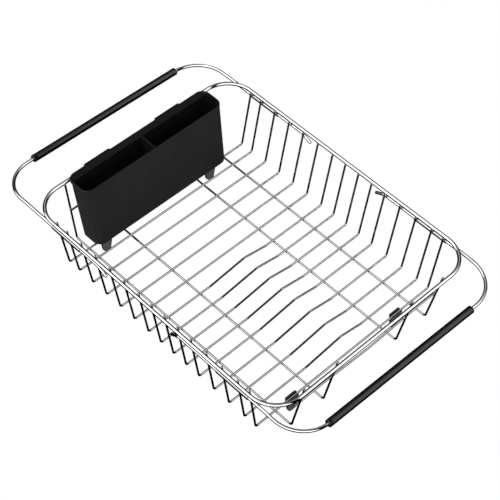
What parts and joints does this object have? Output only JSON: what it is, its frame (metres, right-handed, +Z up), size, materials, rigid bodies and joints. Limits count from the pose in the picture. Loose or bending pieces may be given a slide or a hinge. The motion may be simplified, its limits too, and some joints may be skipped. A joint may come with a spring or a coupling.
{
  "type": "dish drying rack",
  "caption": "Wire dish drying rack with ridged floor, sliding arms that rest on a sink, soft grips, feet and a hanging utensil holder.",
  "frame": {"origin": "on the ground, midway between the four feet, under the centre of the rim", "axes": "+X along the rack, away from the end with the utensil holder; +Y across the rack; +Z up"},
  "size_m": [0.5452, 0.3416, 0.1131],
  "materials": {
    "wires": "polished",
    "arms": "polished",
    "grips": "satin",
    "feet": "satin",
    "holder": "satin"
  },
  "bodies": {
    "basket": {"rim": "wires", "cross_wire_01": "wires", "cross_wire_02": "wires", "cross_wire_03": "wires", "cross_wire_04": "wires", "cross_wire_05": "wires", "cross_wire_06": "wires", "cross_wire_07": "wires", "cross_wire_08": "wires", "cross_wire_09": "wires", "cross_wire_10": "wires", "cross_wire_11": "wires", "cross_wire_12": "wires", "cross_wire_13": "wires", "cross_wire_14": "wires", "cross_wire_15": "wires", "floor_wire_far_outer": "wires", "floor_wire_far_inner": "wires", "floor_wire_near_inner": "wires", "floor_wire_near_outer": "wires", "left_end_rail": "wires", "right_end_rail": "wires", "left_far_sleeve": "wires", "left_near_sleeve": "wires", "right_far_sleeve": "wires", "right_near_sleeve": "wires", "left_far_foot": "feet", "left_near_foot": "feet", "right_far_foot": "feet", "right_near_foot": "feet"},
    "left_slider": {"left_arm": "arms", "left_grip": "grips"},
    "right_slider": {"right_arm": "arms", "right_grip": "grips"},
    "holder": {"utensil_holder": "holder"}
  },
  "joints": [
    {"name": "left_arm_slide", "type": "slide", "parent": "basket", "child": "left_slider", "axis": [-1, 0, 0], "range_m": [-0.049, 0.03]},
    {"name": "right_arm_slide", "type": "slide", "parent": "basket", "child": "right_slider", "axis": [1, 0, 0], "range_m": [-0.031, 0.048]},
    {"name": "holder_lift", "type": "slide", "parent": "basket", "child": "holder", "axis": [0, 0, 1], "range_m": [0, 0.1]}
  ]
}
